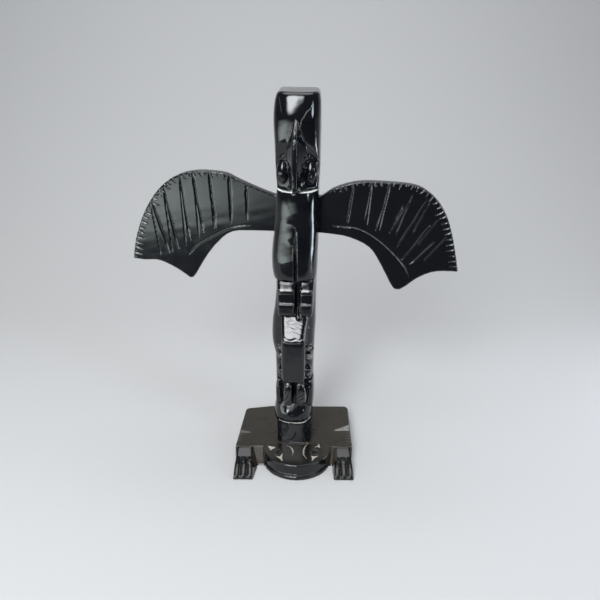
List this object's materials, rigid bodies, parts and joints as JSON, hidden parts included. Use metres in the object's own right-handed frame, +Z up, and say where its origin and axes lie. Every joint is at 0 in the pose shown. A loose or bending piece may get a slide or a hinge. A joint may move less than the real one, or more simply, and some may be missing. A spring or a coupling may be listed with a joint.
{
  "type": "totem pole",
  "caption": "Small carved and black-lacquered wooden totem pole: winged bird above a bear, on a base carved as a crouching animal.",
  "frame": {"origin": "middle of the base's underside", "axes": "+Z up, the figures face -Y, +X to the right of someone who looks at their faces"},
  "size_m": [0.4524, 0.155, 0.517],
  "materials": {
    "pole_lacquer": "gloss black lacquer on carved wood",
    "wing_lacquer": "gloss black lacquer with chipped pale edges",
    "base_lacquer": "satin black lacquer, a little dusty, bare wood in the chip cuts"
  },
  "bodies": {
    "root": {"pole": "pole_lacquer", "wings": "wing_lacquer", "base": "base_lacquer"}
  },
  "joints": []
}
